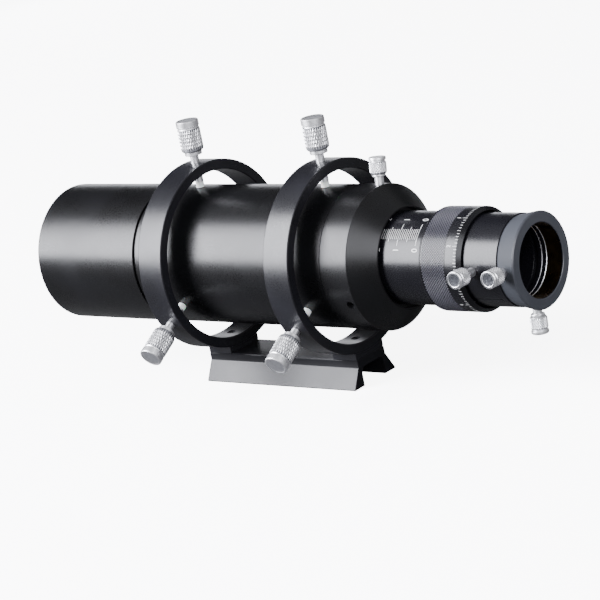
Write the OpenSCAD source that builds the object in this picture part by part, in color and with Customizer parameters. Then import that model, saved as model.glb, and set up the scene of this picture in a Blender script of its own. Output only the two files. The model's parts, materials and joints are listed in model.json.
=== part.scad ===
// Finder scope: a 60 mm refracting guide and finder telescope, held by six thumbscrews in two rings on
// a dovetail bar, with a lockable drawtube, a helical fine focuser and a 1.25 inch eyepiece holder.
// Millimetres. +X runs along the optical axis towards the eyepiece, +Z is up, and the origin is on the
// underside of the dovetail bar, midway between the rings.

/* [Dovetail bar] */
// Length of the dovetail bar
bar_l = 89; // [86:0.5:110]
// Width of the bar's neck
neck_w = 20; // [18:0.5:22]
// Width of the dovetail foot at its underside
foot_w = 30.4; // [29:0.2:32]
// Height of the flared foot
foot_h = 9; // [8:0.5:10]
// Height of the whole bar
bar_h = 12.7; // [12:0.1:14]
// Width of the channel along the underside
channel_w = 15.6; // [12:0.2:15.8]
// Depth of the channel
channel_h = 8.6; // [6:0.2:8.8]

/* [Rings] */
// Distance between the two ring centres
ring_gap = 75; // [70:1:90]
// Inner radius of a ring
ring_ri = 39; // [38:0.2:40]
// Outer radius of a ring
ring_ro = 43.8; // [43:0.2:45]
// Width of a ring along the tube
ring_w = 14; // [12:0.5:15]
// Height of the flat pad under a ring
pad_h = 2; // [1.5:0.1:3]

/* [Tube] */
// Outer radius of the main tube
tube_r = 32; // [31.8:0.1:32.2]
// Wall thickness of the main tube
tube_wall = 2; // [1.6:0.1:2]
// Outer radius of the lens hood
hood_r = 32.25; // [32.2:0.05:33]
// Length of the lens hood
hood_l = 63; // [50:1:90]
// Radius of the objective lens
lens_r = 30.4; // [30.2:0.1:30.45]

/* [Focuser] */
// Outer radius of the drawtube
draw_r = 20.4; // [20.2:0.1:20.45]
// Length of drawtube scale seen between the rear body and the knurled grip
draw_out = 21.8; // [21:0.2:24]
// Outer radius of the knurled grip and of the micrometer collar
grip_r = 22.6; // [22.3:0.1:23.5]
// Outer radius of the eyepiece sleeve
sleeve_r = 19.9; // [19.7:0.1:19.95]
// Outer radius of the eyepiece holder's rim
rim_r = 20.95; // [20.5:0.05:22]
// Radius of the bore for 31.75 mm eyepieces
eyepiece_r = 15.95; // [15.9:0.01:16]
// Angle of the side clamp screws from the top, towards the -Y side
side_angle = 87; // [60:1:100]

/* [Thumbscrews] */
// Radius of a ring screw's knob
knob_r = 5.3; // [5:0.1:6]
// Length of a ring screw's knob
knob_l = 14.6; // [12:0.1:16]
// Radius of a small clamp screw's knob
small_knob_r = 3.8; // [3.5:0.1:4.2]
// Radius of every screw's shank
shank_r = 2; // [1.9:0.05:2]

/* [Hidden] */
$fn = 96;

slip = 0.05;                                // radial clearance of every sliding or threaded fit
tip_gap = 0.15;                             // gap between a ring screw's tip and the tube
axis_z = bar_h + pad_h + ring_ro;           // height of the optical axis
front_x = -ring_gap / 2;                    // centre of the front ring
rear_x = ring_gap / 2;                      // centre of the rear ring
tapped_r = shank_r + slip;                  // wall radius of a tapped hole
edge = 0.5;                                 // usual edge chamfer

// Screw directions, as angles from the top towards the -Y side
top_angle = 0;
near_angle = 120;
far_angle = 240;
body_angles = [-8, 112, 232];
lower_angle = side_angle + 90;

// Stations along the tube
hood_x1 = -59.4;                            // rear end of the hood
hood_x0 = hood_x1 - hood_l;                 // mouth of the hood
cell_x0 = hood_x1 + 1.2;                    // front of the cell's full diameter, behind the shadow gap
cell_x1 = -40;                              // joint of cell and main tube, under the front ring
tube_x1 = 52.8;                             // rear end of the main tube
body_x1 = 67.5;                             // rear edge of the rear body's cylinder
cone_x1 = 77.2;                             // rear lip of the rear body
cone_r = 22.65;                             // radius of that lip
lock_x = 64.5;                              // screws round the rear body
grip_x0 = cone_x1 + draw_out;               // front of the knurled grip
grip_x1 = grip_x0 + 13.7;                   // joint of grip and micrometer collar
collar_x1 = grip_x1 + 7.4;                  // rear end of the collar
helical_lock_x = collar_x1 + 4.6;           // clamp screw of the helical focuser
holder_x0 = collar_x1 + 17.2;               // front of the eyepiece holder
holder_x1 = holder_x0 + 9.1;                // eyepiece mouth
clamp_x = holder_x0 + 3.2;                  // clamp screws of the eyepiece holder

// Objective: an air-spaced doublet
crown_front_r = 150;                        // radius of curvature of the crown's front face
crown_back_r = 110;
flint_front_r = 112;
flint_back_r = 400;
crown_x0 = -60.5;                           // front vertex of the crown
crown_t = 10.5;                             // its thickness on the axis
flint_x0 = crown_x0 + crown_t + 0.2;        // front vertex of the flint, after the air gap
flint_t = 4.5;
function sag(roc, r) = roc - sqrt(roc * roc - r * r);
seat_x = flint_x0 + flint_t - sag(flint_back_r, lens_r) + slip;   // shoulder that the flint rests on

// Radii in the helical focuser
draw_ri = 18.4;                             // bore of the drawtube
core_ro = 17.3;                             // tube inside the sleeve, part of the drawtube
core_ri = 16.4;
core_x1 = holder_x0 - 6.3;                  // rear end of that tube
neck_ro = 19.5;                             // neck that the grip turns on
neck_x1 = grip_x0 + 6;
sleeve_x0 = grip_x0 + 10.2;                 // front end of the sleeve

black = "#1c1d20";
bright = "#d7d8da";

// Places children, whose +Z is along the optical axis, with their z = 0 at station x = 0
module along_tube() translate([0, 0, axis_z]) rotate([0, 90, 0]) children();

// Turns a profile of [radius, station] points round the optical axis
module turned(points) along_tube() rotate_extrude() polygon(points);

// Places children at station x with their +Z pointing out from the optical axis at an angle
module radial(x, angle) translate([x, 0, axis_z]) rotate([angle, 0, 0]) children();

// Round hole or pin from radius r0 to r1, square to the optical axis
module radial_pin(x, angle, r, r0, r1)
    radial(x, angle) translate([0, 0, r0]) cylinder(r = r, h = r1 - r0);

// Dovetail bar -----------------------------------------------------------------------------------

module channel_outline(corner = 2.5) {
    translate([-channel_w / 2, -1]) square([channel_w, channel_h - corner + 1]);
    translate([-channel_w / 2 + corner, -1]) square([channel_w - 2 * corner, channel_h + 1]);
    for (side = [-1, 1])
        translate([side * (channel_w / 2 - corner), channel_h - corner]) circle(r = corner);
}

module bar_outline(bevel = 0.6) {
    half_neck = neck_w / 2;
    half_foot = foot_w / 2;
    difference() {
        polygon([[-half_foot, 0], [half_foot, 0], [half_foot, bevel], [half_neck, foot_h],
            [half_neck, bar_h - bevel], [half_neck - bevel, bar_h], [-half_neck + bevel, bar_h],
            [-half_neck, bar_h - bevel], [-half_neck, foot_h], [-half_foot, bevel]]);
        channel_outline();
    }
}

module dovetail_bar() color(black) difference() {
    translate([-bar_l / 2, 0, 0]) rotate([90, 0, 90]) linear_extrude(bar_l) bar_outline();
    for (x = [front_x, rear_x])
        translate([x, 0, channel_h - 1]) cylinder(r = tapped_r, h = bar_h);
}

// Rings ------------------------------------------------------------------------------------------

bolt_head_r = 3.5;
bolt_head_h = 2.4;
bolt_seat_z = axis_z - ring_ri - 2.9;       // bottom of the counterbore for the bolt's head

module ring(x) color(black) difference() {
    union() {
        turned([[ring_ri + edge, x - ring_w / 2], [ring_ro - edge, x - ring_w / 2],
            [ring_ro, x - ring_w / 2 + edge], [ring_ro, x + ring_w / 2 - edge],
            [ring_ro - edge, x + ring_w / 2], [ring_ri + edge, x + ring_w / 2],
            [ring_ri, x + ring_w / 2 - edge], [ring_ri, x - ring_w / 2 + edge]]);
        translate([x - ring_w / 2 + 0.3, -neck_w / 2, bar_h]) cube([ring_w - 0.6, neck_w, pad_h + 2]);
    }
    for (angle = [top_angle, near_angle, far_angle])
        radial_pin(x, angle, tapped_r, ring_ri - 1, ring_ro + 1);
    translate([x, 0, bar_h - 1]) cylinder(r = tapped_r + 0.1, h = 10);
    translate([x, 0, bolt_seat_z]) cylinder(r = bolt_head_r + 0.2, h = 8);
}

module front_ring() ring(front_x);

module rear_ring() ring(rear_x);

// Two cap screws that hold the rings to the bar from inside
module ring_bolts() color("#3a3b3e") for (x = [front_x, rear_x]) translate([x, 0, 0]) difference() {
    union() {
        translate([0, 0, bolt_seat_z]) cylinder(r = bolt_head_r, h = bolt_head_h);
        translate([0, 0, channel_h + 0.3]) cylinder(r = shank_r, h = bolt_seat_z - channel_h);
    }
    translate([0, 0, bolt_seat_z + 0.9]) cylinder(r = 1.5, h = bolt_head_h, $fn = 6);
}

// Tube and objective -----------------------------------------------------------------------------

tube_ri = tube_r - tube_wall;
spigot_r = tube_ri - slip;
thread_r = 31.4;                            // outside of the cell's front thread

module main_tube() color(black) turned([[tube_ri, cell_x1], [tube_r, cell_x1],
    [tube_r, tube_x1], [tube_ri, tube_x1]]);

module lens_hood(bore_r = 30.6) color(black) turned([[bore_r + edge, hood_x0], [hood_r - edge, hood_x0],
    [hood_r, hood_x0 + edge], [hood_r, hood_x1 - 0.3], [hood_r - 0.3, hood_x1],
    [thread_r + slip, hood_x1], [thread_r + slip, cell_x0 - 8], [bore_r, cell_x0 - 8],
    [bore_r, hood_x0 + edge]]);

module objective_cell() color(black) turned([[lens_r + slip, cell_x0 - 7.6], [thread_r, cell_x0 - 7.6],
    [thread_r, cell_x0], [tube_r - 0.3, cell_x0], [tube_r, cell_x0 + 0.3], [tube_r, cell_x1],
    [spigot_r, cell_x1], [spigot_r, cell_x1 + 6], [28.8, cell_x1 + 6], [28.8, seat_x + 2],
    [29.8, seat_x], [lens_r + slip, seat_x]]);

module crown_lens() color("#cfe3da", 0.4) along_tube() intersection() {
    translate([0, 0, crown_x0]) cylinder(r = lens_r, h = crown_t);
    translate([0, 0, crown_x0 + crown_front_r]) sphere(r = crown_front_r);
    translate([0, 0, crown_x0 + crown_t - crown_back_r]) sphere(r = crown_back_r);
}

// The flint's convex rear face holds it to the shoulder, and its hollow front face follows the crown
module flint_lens() color("#d6e0d0", 0.4) along_tube() difference() {
    intersection() {
        translate([0, 0, flint_x0 - sag(flint_front_r, lens_r)])
            cylinder(r = lens_r, h = flint_t + sag(flint_front_r, lens_r));
        translate([0, 0, flint_x0 + flint_t - flint_back_r]) sphere(r = flint_back_r);
    }
    translate([0, 0, flint_x0 - flint_front_r]) sphere(r = flint_front_r);
}

// Thin tin ring in the air gap, at the edge of the two lenses
module lens_spacer(inner = 29.4, film = 0.06, rear_film = 0.1) color("#8d9094") {
    crown_back = crown_x0 + crown_t;
    turned([[inner, crown_back - sag(crown_back_r, inner) + film],
        [lens_r, crown_back - sag(crown_back_r, lens_r) + film],
        [lens_r, flint_x0 - sag(flint_front_r, lens_r) - rear_film],
        [inner, flint_x0 - sag(flint_front_r, inner) - rear_film]]);
}

// Threaded ring with two spanner slots, in front of the crown
module lens_retainer(inner = 29.3) color("#202124") {
    back_x = crown_x0 + sag(crown_front_r, inner) - slip;
    difference() {
        turned([[inner, back_x - 2.6], [lens_r, back_x - 2.6], [lens_r, back_x], [inner, back_x]]);
        for (side = [-1, 1]) translate([back_x - 3, side * lens_r - 1, axis_z - 1]) cube([1.6, 2, 2]);
    }
}

module baffle(x, opening_r) color("#141415") turned([[opening_r, x], [spigot_r, x], [spigot_r, x + 6],
    [spigot_r - 0.8, x + 6], [spigot_r - 0.8, x + 0.8], [opening_r, x + 0.8]]);

module front_baffle() baffle(-12, 26.5);

module rear_baffle() baffle(24, 22);

module rear_body(guide_r = draw_r + slip, recess_r = 21.9) color(black) difference() {
    turned([[28, tube_x1 - 9], [spigot_r, tube_x1 - 9], [spigot_r, tube_x1], [tube_r, tube_x1],
        [tube_r + 0.3, tube_x1 + 0.3], [tube_r + 0.3, body_x1 - 0.3], [tube_r, body_x1],
        [cone_r, cone_x1], [recess_r, cone_x1], [recess_r, cone_x1 - 3], [guide_r, cone_x1 - 3],
        [guide_r, tube_x1 + 3], [28, tube_x1 + 3]]);
    for (angle = body_angles) radial_pin(lock_x, angle, tapped_r, draw_r - 1, tube_r + 2);
}

// Two socket screws, at the free thirds of the rear body, that set the drawtube's drag
module tension_grub_screws() color("#3a3b3e") for (angle = [body_angles[1], body_angles[2]])
    radial(lock_x, angle) difference() {
        translate([0, 0, draw_r + 0.15]) cylinder(r = shank_r, h = 10.5);
        translate([0, 0, draw_r + 8.2]) cylinder(r = 1.15, h = 4, $fn = 6);
    }

// Focuser ----------------------------------------------------------------------------------------

module drawtube(draw_x0 = 42) color(black) difference() {
    turned([[draw_ri, draw_x0], [draw_r, draw_x0], [draw_r, grip_x0 - 0.1], [neck_ro, grip_x0 - 0.1],
        [neck_ro, neck_x1], [18, neck_x1], [18, grip_x0 + 1], [core_ro, grip_x0 + 1],
        [core_ro, core_x1], [core_ri, core_x1], [core_ri, grip_x0 - 4], [draw_ri, grip_x0 - 6]]);
    radial_pin(key_x, far_angle, key_r, core_ri - 1, core_ro + 1);
}

// Clip ring behind the neck that keeps the grip on the drawtube
module grip_retainer() color("#5a5c60") turned([[18, neck_x1], [20.3, neck_x1], [20.3, neck_x1 + 0.9],
    [18, neck_x1 + 0.9]]);

key_x = sleeve_x0 + 10;                     // pin that stops the sleeve from turning
key_r = 1;

module guide_key() color("#b9bbbe") radial_pin(key_x, far_angle, key_r, core_ri, 18.7);

collar_ri = 20.8;                           // bore of the micrometer collar
liner_r = grip_r - 1.7;                     // where the grip sits on the collar

module focus_grip() color(black) difference() {
    turned([[liner_r, grip_x0], [grip_r - edge, grip_x0], [grip_r, grip_x0 + edge],
        [grip_r, grip_x1 - 0.2], [grip_r - 0.2, grip_x1], [liner_r, grip_x1]]);
    radial_pin(grip_x0 + 3.5, grub_angle, grub_r + slip, liner_r - 1, grip_r + 1);
}

// Carries the helical thread, and its rear part has the hundred fine divisions
module micrometer_collar() color(black) turned([[neck_ro + slip, grip_x0], [liner_r - 0.02, grip_x0],
    [liner_r - 0.02, grip_x1 + 0.02], [grip_r, grip_x1 + 0.02], [grip_r, collar_x1 - 1.6],
    [collar_ri + 0.1, collar_x1], [collar_ri, collar_x1], [collar_ri, collar_x1 - 2.5],
    [sleeve_r + slip, collar_x1 - 3], [sleeve_r + slip, sleeve_x0 - 3], [collar_ri - 0.4, sleeve_x0 - 3],
    [collar_ri - 0.4, neck_x1 - 0.1], [neck_ro + slip, neck_x1 - 0.1]]);

grub_angle = 31;
grub_r = 1;

module grip_grub_screw() color("#3a3b3e")
    radial_pin(grip_x0 + 3.5, grub_angle, grub_r, liner_r, grip_r - 0.4);

// Slides without turning: the key runs in the slot along its bore
module eyepiece_sleeve(slot_l = 13.5, groove_d = 0.35) color(black) difference() {
    turned([[core_ro + slip, sleeve_x0], [sleeve_r, sleeve_x0], [sleeve_r, holder_x0],
        [18.45, holder_x0], [18.45, holder_x0 - 4], [core_ro + slip, holder_x0 - 4]]);
    radial(sleeve_x0 - 1, far_angle) translate([0, -key_r - slip, core_ro - 1])
        cube([slot_l + 1, 2 * (key_r + slip), 2.5]);
    radial_pin(helical_lock_x, side_angle, tapped_r, core_ro - 1, sleeve_r + 1);
    radial(collar_x1 - 2, index_angle) translate([0, -0.3, sleeve_r - groove_d]) cube([12.5, 0.6, 2]);
}

index_angle = 128;

module eyepiece_holder(groove_r = 17) color(black) difference() {
    turned([[eyepiece_r, holder_x0 - 3.9], [18.4, holder_x0 - 3.9], [18.4, holder_x0],
        [sleeve_r, holder_x0], [rim_r - 0.1, holder_x1 - 0.6], [rim_r - 0.5, holder_x1],
        [eyepiece_r + 0.3, holder_x1], [eyepiece_r, holder_x1 - 0.3], [eyepiece_r, ring_groove_x1],
        [groove_r, ring_groove_x1], [groove_r, ring_groove_x0], [eyepiece_r, ring_groove_x0]]);
    for (angle = [side_angle, lower_angle]) radial_pin(clamp_x, angle, tapped_r, groove_r - 1, rim_r + 1);
}

ring_groove_x0 = holder_x0 + 0.7;
ring_groove_x1 = holder_x1 - 1;

// Split brass ring that the two clamp screws press on the eyepiece's barrel
module compression_ring(inner = eyepiece_r + 0.01) color("#b5883e") difference() {
    turned([[inner, ring_groove_x0 + slip], [16.9, ring_groove_x0 + slip],
        [16.9, ring_groove_x1 - slip], [inner, ring_groove_x1 - slip]]);
    radial(0, side_angle - 135) translate([holder_x0, -1, 10]) cube([10, 2, 10]);
}

// Thumbscrews ------------------------------------------------------------------------------------

// Lathe-turned thumbscrew pointing at the optical axis: shank from radius r0, small flange, then a
// knob with a smooth banded end, out to radius r1
module thumbscrew(x, angle, r0, r1, head_r, head_l, flange_r, flange_h) {
    base = r1 - head_l;
    band = head_l * 0.21;
    nick = 0.35;
    color(bright) radial(x, angle) rotate_extrude() polygon([[0, r0], [shank_r, r0],
        [shank_r, base - flange_h], [flange_r, base - flange_h], [flange_r, base],
        [head_r - 0.3, base], [head_r, base + 0.3], [head_r, r1 - band - nick],
        [head_r - nick, r1 - band], [head_r - nick, r1 - band + nick], [head_r, r1 - band + 2 * nick],
        [head_r, r1 - 0.4], [head_r - 0.4, r1], [0, r1]]);
}

// Plastic or brass tip that doesn't turn with the screw
module screw_tip(x, angle, r0, r1, tone) color(tone) radial_pin(x, angle, shank_r - 0.1, r0, r1);

ring_tip_r0 = tube_r + tip_gap;
ring_tip_r1 = ring_tip_r0 + 2.5;
ring_screw_r1 = 64;                         // outer end of every ring screw

module ring_screw(x, angle)
    thumbscrew(x, angle, ring_tip_r1, ring_screw_r1, knob_r, knob_l, flange_r = 4, flange_h = 1.8);

module ring_tip(x, angle) screw_tip(x, angle, ring_tip_r0, ring_tip_r1, "#f1f1ee");

module front_top_screw() ring_screw(front_x, top_angle);
module front_near_screw() ring_screw(front_x, near_angle);
module front_far_screw() ring_screw(front_x, far_angle);
module rear_top_screw() ring_screw(rear_x, top_angle);
module rear_near_screw() ring_screw(rear_x, near_angle);
module rear_far_screw() ring_screw(rear_x, far_angle);

module front_top_tip() ring_tip(front_x, top_angle);
module front_near_tip() ring_tip(front_x, near_angle);
module front_far_tip() ring_tip(front_x, far_angle);
module rear_top_tip() ring_tip(rear_x, top_angle);
module rear_near_tip() ring_tip(rear_x, near_angle);
module rear_far_tip() ring_tip(rear_x, far_angle);

// A small clamp screw: its tip ends at r0, and the screw runs from the tip to r1
small_tip_l = 1.6;
small_knob_l = 7.8;

module clamp_screw(x, angle, r0, r1)
    thumbscrew(x, angle, r0 + small_tip_l, r1, small_knob_r, small_knob_l, flange_r = 3, flange_h = 0.9);

module clamp_tip(x, angle, r0) screw_tip(x, angle, r0, r0 + small_tip_l, "#c9a458");

module drawtube_lock_screw() clamp_screw(lock_x, body_angles[0], draw_r + 0.15, 44.4);
module drawtube_lock_tip() clamp_tip(lock_x, body_angles[0], draw_r + 0.15);
module helical_lock_screw() clamp_screw(helical_lock_x, side_angle, core_ro + 0.1, 33);
module helical_lock_tip() clamp_tip(helical_lock_x, side_angle, core_ro + 0.1);
module eyepiece_side_screw() clamp_screw(clamp_x, side_angle, 16.95, 31);
module eyepiece_side_tip() clamp_tip(clamp_x, side_angle, 16.95);
module eyepiece_lower_screw() clamp_screw(clamp_x, lower_angle, 16.95, 31.8);
module eyepiece_lower_tip() clamp_tip(clamp_x, lower_angle, 16.95);

dovetail_bar();
front_ring();
rear_ring();
ring_bolts();
main_tube();
lens_hood();
objective_cell();
crown_lens();
lens_spacer();
flint_lens();
lens_retainer();
front_baffle();
rear_baffle();
rear_body();
tension_grub_screws();
drawtube();
grip_retainer();
guide_key();
focus_grip();
micrometer_collar();
grip_grub_screw();
eyepiece_sleeve();
eyepiece_holder();
compression_ring();
front_top_screw();
front_near_screw();
front_far_screw();
rear_top_screw();
rear_near_screw();
rear_far_screw();
front_top_tip();
front_near_tip();
front_far_tip();
rear_top_tip();
rear_near_tip();
rear_far_tip();
drawtube_lock_screw();
drawtube_lock_tip();
helical_lock_screw();
helical_lock_tip();
eyepiece_side_screw();
eyepiece_side_tip();
eyepiece_lower_screw();
eyepiece_lower_tip();
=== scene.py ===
import json
import math

import bmesh
import bpy
from mathutils import Matrix, Quaternion, Vector


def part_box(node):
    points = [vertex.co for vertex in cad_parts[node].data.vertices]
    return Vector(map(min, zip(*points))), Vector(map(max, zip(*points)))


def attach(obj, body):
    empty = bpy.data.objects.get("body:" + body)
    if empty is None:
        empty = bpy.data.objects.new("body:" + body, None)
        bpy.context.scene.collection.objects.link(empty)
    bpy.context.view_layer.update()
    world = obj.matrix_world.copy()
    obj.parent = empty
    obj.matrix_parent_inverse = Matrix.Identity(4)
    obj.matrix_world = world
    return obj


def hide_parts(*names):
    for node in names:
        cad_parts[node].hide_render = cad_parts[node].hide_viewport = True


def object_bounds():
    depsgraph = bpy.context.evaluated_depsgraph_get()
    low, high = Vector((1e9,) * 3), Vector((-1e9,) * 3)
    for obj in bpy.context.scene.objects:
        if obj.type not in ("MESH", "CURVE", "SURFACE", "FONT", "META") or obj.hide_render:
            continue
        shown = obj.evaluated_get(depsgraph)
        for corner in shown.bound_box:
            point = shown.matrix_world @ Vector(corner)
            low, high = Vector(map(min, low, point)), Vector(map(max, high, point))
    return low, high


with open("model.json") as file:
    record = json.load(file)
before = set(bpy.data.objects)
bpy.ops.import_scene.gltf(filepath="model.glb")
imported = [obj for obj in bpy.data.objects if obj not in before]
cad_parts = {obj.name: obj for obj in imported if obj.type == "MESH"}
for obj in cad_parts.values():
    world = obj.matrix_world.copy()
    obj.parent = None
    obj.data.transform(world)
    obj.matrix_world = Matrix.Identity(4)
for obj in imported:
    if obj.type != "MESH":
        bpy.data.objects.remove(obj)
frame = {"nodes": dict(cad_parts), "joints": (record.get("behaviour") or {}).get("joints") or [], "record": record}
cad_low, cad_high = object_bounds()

# Finder scope: a 60 mm refractor in two rings on a dovetail bar. Lengths are in millimetres and turn
# into metres where a mesh is built. X runs along the optical axis, from the hood to the eyepiece.
MM = 0.001
MOUNTS = {m["name"]: m for m in frame["record"]["mounts"]}
AXIS_Z = MOUNTS["eyepiece_bore"]["pos_m"][2] / MM
EYEPIECE_R = MOUNTS["eyepiece_bore"]["dims"]["r_mm"]
AXES = {j["name"]: Vector(j["axis"]) for j in frame["joints"]}
BODY_OF = {n: b for b, nodes in frame["record"]["behaviour"]["bodies"].items() for n in nodes}


def span(node):
    """First and last station of a node along the optical axis."""
    low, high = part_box(node)
    return low.x / MM, high.x / MM


def middle_of(node):
    """Middle station of a node along the optical axis."""
    return sum(span(node)) / 2


def reach(node):
    """Outer radius of a turned node."""
    low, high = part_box(node)
    return (high.y - low.y) / 2 / MM


def off_axis(face):
    """How far a face's middle is from the optical axis."""
    return math.hypot(face.center.y, face.center.z - AXIS_Z * MM) / MM


def hex_colour(text):
    """sRGB hex to the linear colour that a shader socket takes."""
    channels = [int(text[i:i + 2], 16) / 255 for i in (1, 3, 5)]
    linear = [c / 12.92 if c <= 0.04045 else ((c + 0.055) / 1.055) ** 2.4 for c in channels]
    return (*linear, 1.0)


def add(tree, kind, inputs=None, **settings):
    """One node with its settings, its fixed inputs and its links."""
    node = tree.nodes.new(kind)
    for key, value in settings.items():
        setattr(node, key, value)
    for key, value in (inputs or {}).items():
        if isinstance(value, bpy.types.NodeSocket):
            tree.links.new(value, node.inputs[key])
        else:
            node.inputs[key].default_value = value
    return node


def calc(tree, operation, *values):
    """The result of a Math node."""
    return add(tree, "ShaderNodeMath", dict(enumerate(values)), operation=operation).outputs[0]


# Materials -----------------------------------------------------------------------------------------

def material(name, colour, roughness, metallic=0.0, **extra):
    """A plain finish: the material, its tree, its shader and the object coordinates in millimetres."""
    made = bpy.data.materials.new(name)
    made.use_nodes = True
    tree = made.node_tree
    tree.nodes.clear()
    sockets = {"Base Color": hex_colour(colour), "Roughness": roughness, "Metallic": metallic}
    sockets.update({key.replace("_", " "): value for key, value in extra.items()})
    shader = add(tree, "ShaderNodeBsdfPrincipled", sockets)
    add(tree, "ShaderNodeOutputMaterial", {"Surface": shader.outputs["BSDF"]})
    where = add(tree, "ShaderNodeTexCoord")
    scaled = add(tree, "ShaderNodeMapping", {"Vector": where.outputs["Object"], "Scale": (1 / MM,) * 3})
    made.diffuse_color = hex_colour(colour)
    return made, tree, shader, scaled.outputs["Vector"]


def mixed_colour(tree, factor, first, second):
    """Mixes two hex colours. A Mix node's colour sockets are its inputs 6 and 7 and its output 2."""
    mix = add(tree, "ShaderNodeMix", {0: factor, 6: hex_colour(first), 7: hex_colour(second)},
              data_type="RGBA")
    return mix.outputs[2]


def spread(tree, value, low, high, to_low, to_high):
    """Maps a value's range onto another, clamped."""
    return add(tree, "ShaderNodeMapRange", {"Value": value, "From Min": low, "From Max": high,
                                            "To Min": to_low, "To Max": to_high}).outputs["Result"]


CLOUD_SCALE = 0.045                         # the dye's tone drifts over some 20 mm


def anodised(name, colour, lighter, roughness, grit, bump, shine=0.25, turned=0.0):
    """Bead-blasted and anodised aluminium. The grit sets the blasted grain, bump its height and turned
    the pitch of fine lathe lines round the optical axis, all in mm. Shine is the specular level."""
    made, tree, shader, place = material(name, colour, roughness, Specular_IOR_Level=shine)
    grain = add(tree, "ShaderNodeTexNoise", {"Vector": place, "Scale": 1 / grit, "Detail": 3.0,
                                             "Roughness": 0.6})
    cloud = add(tree, "ShaderNodeTexNoise", {"Vector": place, "Scale": CLOUD_SCALE, "Detail": 2.0})
    tone = spread(tree, cloud.outputs["Fac"], 0.35, 0.65, 0.0, 1.0)
    tree.links.new(mixed_colour(tree, tone, colour, lighter), shader.inputs["Base Color"])
    fine = spread(tree, grain.outputs["Fac"], 0.3, 0.7, -0.05, 0.05)
    broad = spread(tree, cloud.outputs["Fac"], 0.3, 0.7, roughness - 0.03, roughness + 0.03)
    tree.links.new(calc(tree, "ADD", fine, broad), shader.inputs["Roughness"])
    height = grain.outputs["Fac"]
    if turned:
        parts = add(tree, "ShaderNodeSeparateXYZ", {"Vector": place})
        cut = add(tree, "ShaderNodeTexNoise", {"W": parts.outputs["X"], "Scale": 1 / turned, "Detail": 2.0},
                  noise_dimensions="1D")
        height = calc(tree, "ADD", cut.outputs["Fac"], height)
    relief = add(tree, "ShaderNodeBump", {"Height": height, "Strength": 0.35, "Distance": bump * MM})
    tree.links.new(relief.outputs["Normal"], shader.inputs["Normal"])
    return made


def bare_metal(name, colour, darker, roughness, pitch, bump):
    """Turned bare metal: fine tool marks, pitch mm apart and bump mm high, that vary its colour and
    gloss a little."""
    made, tree, shader, place = material(name, colour, roughness, 1.0)
    marks = add(tree, "ShaderNodeTexNoise", {"Vector": place, "Scale": 1 / pitch, "Detail": 4.0,
                                             "Roughness": 0.55})
    tone = spread(tree, marks.outputs["Fac"], 0.35, 0.7, 0.0, 1.0)
    tree.links.new(mixed_colour(tree, tone, darker, colour), shader.inputs["Base Color"])
    tree.links.new(spread(tree, marks.outputs["Fac"], 0.3, 0.7, roughness - 0.06, roughness + 0.06),
                   shader.inputs["Roughness"])
    relief = add(tree, "ShaderNodeBump", {"Height": marks.outputs["Fac"], "Strength": 0.3,
                                          "Distance": bump * MM})
    tree.links.new(relief.outputs["Normal"], shader.inputs["Normal"])
    return made


def flat_coat(name, colour, darker, roughness, grain, bump, **extra):
    """Paint or moulded plastic, with a faint orange-peel or moulding texture, grain mm across and bump
    mm high."""
    made, tree, shader, place = material(name, colour, roughness, 0.0, **extra)
    peel = add(tree, "ShaderNodeTexNoise", {"Vector": place, "Scale": 1 / grain, "Detail": 2.0})
    tone = spread(tree, peel.outputs["Fac"], 0.35, 0.65, 0.0, 1.0)
    tree.links.new(mixed_colour(tree, tone, darker, colour), shader.inputs["Base Color"])
    relief = add(tree, "ShaderNodeBump", {"Height": peel.outputs["Fac"], "Strength": 0.25,
                                          "Distance": bump * MM})
    tree.links.new(relief.outputs["Normal"], shader.inputs["Normal"])
    return made


def lens_glass(name, tint, ior):
    """Polished glass. Its coating, green and violet on the real lenses, shows here only as a faint green tint
    drifting over the clear glass.
    """
    made, tree, shader, place = material(name, tint, 0.02, 0.0, IOR=ior, Transmission_Weight=0.85,
                                         Coat_Weight=0.6, Coat_Roughness=0.03)
    swirl = add(tree, "ShaderNodeTexNoise", {"Vector": place, "Scale": 0.05, "Detail": 1.0})
    tree.links.new(mixed_colour(tree, swirl.outputs["Fac"], tint, "#bfe0cf"), shader.inputs["Base Color"])
    tree.links.new(spread(tree, swirl.outputs["Fac"], 0.3, 0.7, 0.01, 0.03), shader.inputs["Roughness"])
    return made


# Satin black anodised aluminium tube: an even black with a broad soft highlight and a faint grain
TUBE_BLACK = anodised("satin_black_anodised_tube", "#0a0a0b", "#0d0d0f", 0.30, 0.35, 0.010, turned=0.25)
# The bar is milled and blasted finely, so its flank is a plain soft black
BAR_BLACK = anodised("black_anodised_bar", "#0c0c0f", "#101013", 0.34, 0.3, 0.01, shine=0.2)
# The rings are blasted coarser before anodising, so they look a shade greyer
RING_BLACK = anodised("blasted_black_anodised_ring", "#121215", "#16161a", 0.31, 0.45, 0.012, shine=0.3)
# The focuser's parts are turned finer, and their highlight is tighter and slightly violet
DRAW_BLACK = anodised("fine_black_anodised_drawtube", "#0b0b0e", "#0e0e12", 0.26, 0.3, 0.006, turned=0.2)
# The knurl's teeth are the black anodising painted grey-violet, a painted highlight on their crests
KNURL_PAINTED_HIGHLIGHT = anodised("knurled_grip_painted_highlight", "#34333b", "#3d3c44", 0.32, 0.3, 0.004, shine=0.6)
# The eyepiece holder's flared band is blasted coarsely before anodising, so it is satin; its grey is painted sheen
FLARE_PAINTED_SHEEN = anodised("flare_painted_grey_sheen", "#303236", "#37393e", 0.55, 0.3, 0.01, shine=0.12)
# The holder's end is turned after blasting, and its mid-grey is painted sheen
FACE_PAINTED_SHEEN = anodised("turned_face_painted_grey_sheen", "#34363c", "#3b3d43", 0.36, 0.3, 0.008, shine=0.5)
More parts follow.
